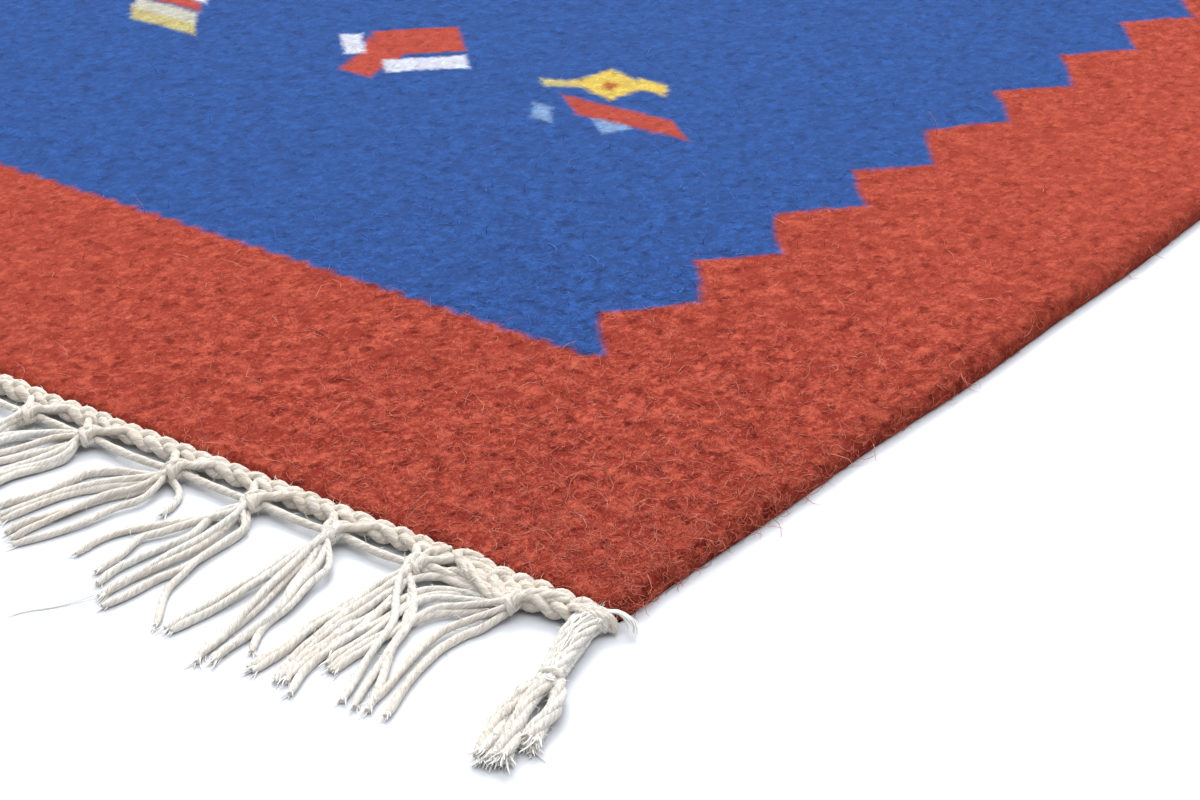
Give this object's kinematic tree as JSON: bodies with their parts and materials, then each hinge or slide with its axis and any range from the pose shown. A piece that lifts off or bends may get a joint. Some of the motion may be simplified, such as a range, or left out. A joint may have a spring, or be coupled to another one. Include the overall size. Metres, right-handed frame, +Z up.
{
  "type": "kilim rug",
  "caption": "Small flat-woven wool rug with a zigzag border and plaited, knotted cotton fringes, laid flat to cover a floor.",
  "frame": {"origin": "on the floor under the middle of the rug", "axes": "+X across the rug to the right-hand selvedge, +Y along the warps to the far end, +Z up"},
  "size_m": [0.64, 1.0582, 0.0064],
  "materials": {
    "woven_wool": "matt hairy weft-faced wool weave, brick red border, cobalt blue field, small red, white, yellow and pale blue figures",
    "warp_cotton": "matt undyed twisted cotton yarn"
  },
  "bodies": {
    "root": {"rug_body": "woven_wool", "fringe_near": "warp_cotton", "fringe_far": "warp_cotton", "corner_tail_near_right": "warp_cotton", "corner_tail_near_left": "warp_cotton", "corner_tail_far_right": "warp_cotton", "corner_tail_far_left": "warp_cotton"}
  },
  "joints": []
}
